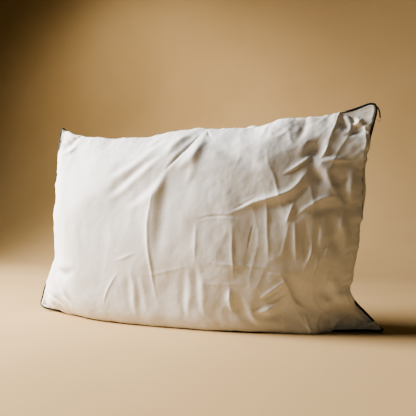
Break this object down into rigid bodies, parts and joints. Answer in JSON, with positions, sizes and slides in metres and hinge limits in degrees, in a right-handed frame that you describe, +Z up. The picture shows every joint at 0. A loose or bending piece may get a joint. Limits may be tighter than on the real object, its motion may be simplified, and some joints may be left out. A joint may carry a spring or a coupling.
{
  "type": "bed pillow",
  "caption": "Rectangular piped bed pillow standing on its long edge, with two cotton panels, a dark corded piping in the seam and a soft fibre filling.",
  "frame": {"origin": "middle of the pillow's box, on the surface that it stands on", "axes": "+X along the pillow, to the right when it is seen from the front; the front panel faces -Y; +Z up"},
  "size_m": [0.7556, 0.1636, 0.4329],
  "materials": {
    "cotton_front": "matt plain-woven cotton, faint sheen",
    "cotton_rear": "matt plain-woven cotton, faint sheen",
    "fibre": "loose white fibre",
    "piping_cloth": "matt woven bias strip",
    "filler_cord": "soft twisted cord",
    "white_thread": "spun thread",
    "label_tape": "smooth blank tape",
    "red_thread": "spun thread"
  },
  "bodies": {
    "root": {"front_panel": "cotton_front", "rear_panel": "cotton_rear", "filling": "fibre", "piping_strip": "piping_cloth", "piping_cord": "filler_cord", "needle_thread": "white_thread", "bobbin_thread": "white_thread", "closing_thread": "white_thread", "care_label": "label_tape", "piping_tail": "piping_cloth", "thread_tail": "red_thread"}
  },
  "joints": []
}
